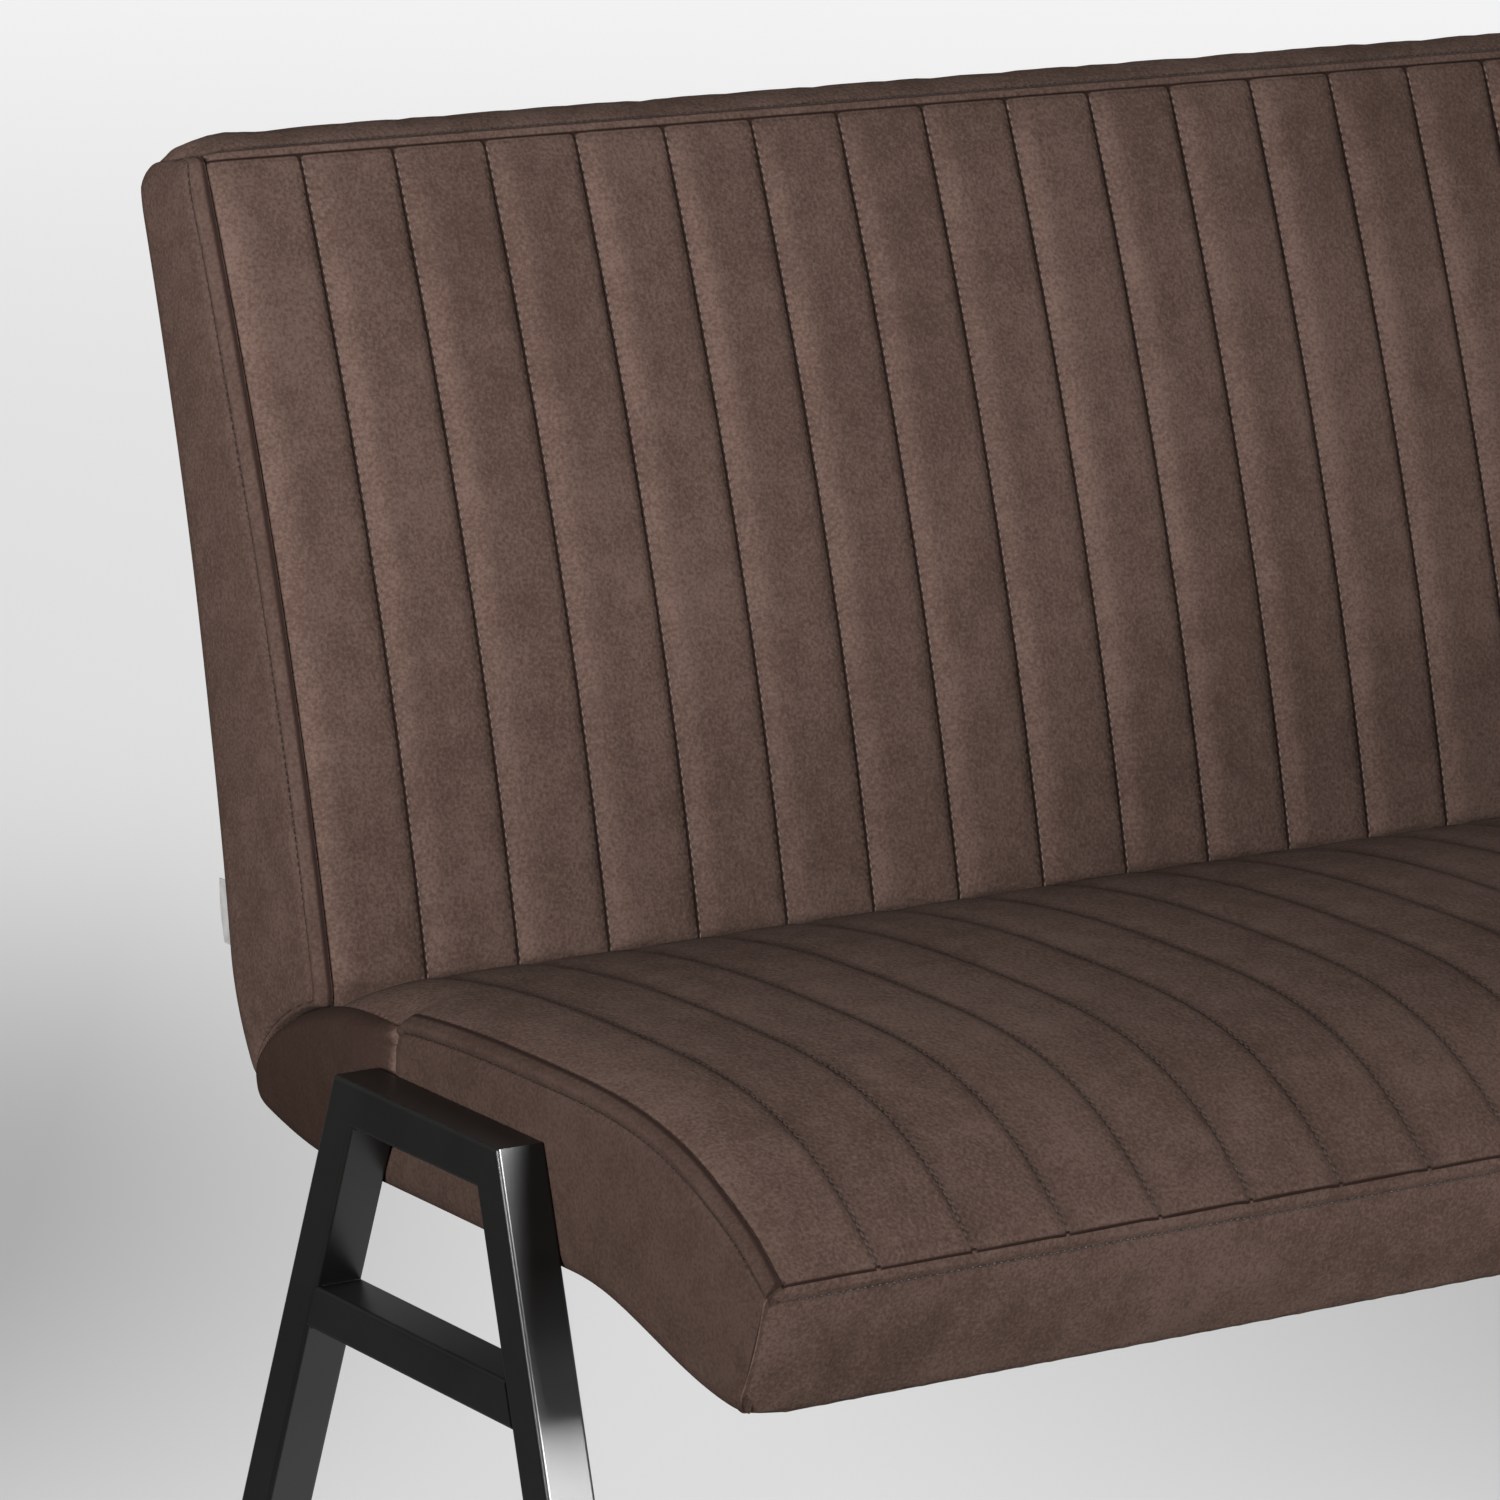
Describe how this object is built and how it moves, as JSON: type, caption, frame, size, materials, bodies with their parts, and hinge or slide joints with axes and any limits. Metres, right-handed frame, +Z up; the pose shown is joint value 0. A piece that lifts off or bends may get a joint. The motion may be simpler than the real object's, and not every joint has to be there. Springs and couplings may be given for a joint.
{
  "type": "dining bench",
  "caption": "Upholstered dining bench with a low raked back and vertically channelled covers, standing on splayed A-shaped steel leg frames.",
  "frame": {"origin": "on the floor, under the middle of the bench's length and depth", "axes": "+X along the bench to the sitter's left, +Y towards the back, so the sitter faces -Y, +Z up"},
  "size_m": [1.8166, 0.6326, 0.899],
  "materials": {
    "frame_steel": "satin black powder coat",
    "suede": "brushed brown microfibre",
    "foam": "upholstery foam",
    "plywood": "sanded plywood",
    "timber": "planed softwood",
    "strap": "elastic webbing",
    "dust_cover": "thin non-woven cloth",
    "zinc": "zinc plated",
    "glide": "matte",
    "label": "blank woven tape"
  },
  "bodies": {
    "root": {"left_top_rail": "frame_steel", "left_front_leg": "frame_steel", "left_rear_leg": "frame_steel", "left_crossbar": "frame_steel", "right_top_rail": "frame_steel", "right_front_leg": "frame_steel", "right_rear_leg": "frame_steel", "right_crossbar": "frame_steel", "foot_glides": "glide", "left_insert_nuts": "zinc", "right_insert_nuts": "zinc", "left_frame_bolts": "zinc", "right_frame_bolts": "zinc", "left_bolt_washers": "zinc", "right_bolt_washers": "zinc", "left_end_rib": "plywood", "right_end_rib": "plywood", "inner_ribs": "plywood", "seat_front_rail": "timber", "seat_rear_rail": "timber", "back_lower_rail": "timber", "back_top_rail": "timber", "rail_screws": "zinc", "seat_straps": "strap", "back_straps": "strap", "seat_foam": "foam", "back_foam": "foam", "seat_channel_cover": "suede", "back_channel_cover": "suede", "seat_front_band": "suede", "left_seat_side_panel": "suede", "right_seat_side_panel": "suede", "left_back_side_band": "suede", "right_back_side_band": "suede", "back_top_band": "suede", "back_rear_cover": "suede", "under_dust_cover": "dust_cover", "blank_label": "label"}
  },
  "joints": []
}
